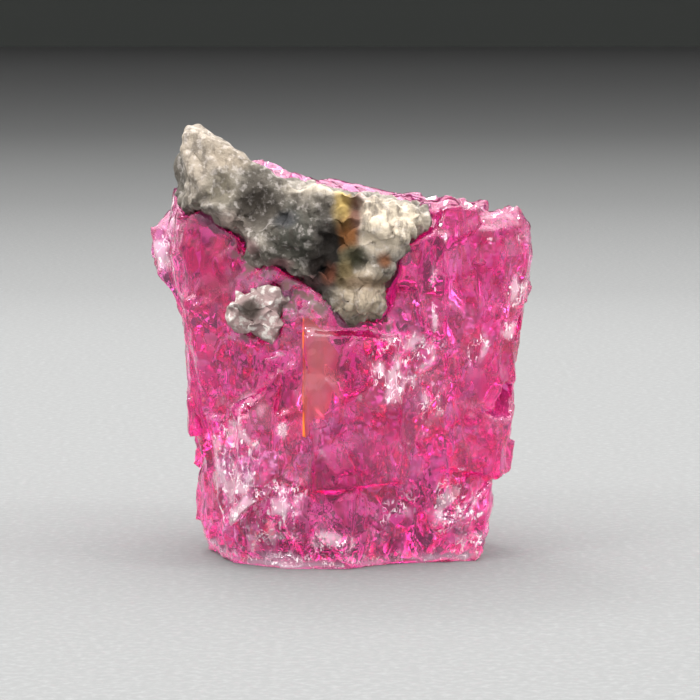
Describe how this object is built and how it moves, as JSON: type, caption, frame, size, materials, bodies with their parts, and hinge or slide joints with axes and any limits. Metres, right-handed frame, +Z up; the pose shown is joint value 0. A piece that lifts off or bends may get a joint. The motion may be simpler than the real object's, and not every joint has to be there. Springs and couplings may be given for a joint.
{
  "type": "red beryl crystal",
  "caption": "Loose red beryl crystal, a tapering prism fragment with a smaller crystal grown on its side and a crust of pale matrix.",
  "frame": {"origin": "centre of the bounding box in plan, at the flat base that the crystal stands on", "axes": "+Z up along the prism, -Y towards the front face that carries the matrix, +X towards the smaller side crystal"},
  "size_m": [0.0076, 0.0062, 0.0088],
  "materials": {
    "beryl": "clear pinkish red crystal with whitish flaws, glossy broken faces",
    "matrix": "dull pale grey and cream rock, stained ochre in places"
  },
  "bodies": {
    "root": {"crystal": "beryl", "matrix": "matrix", "matrix_fleck": "matrix"}
  },
  "joints": []
}
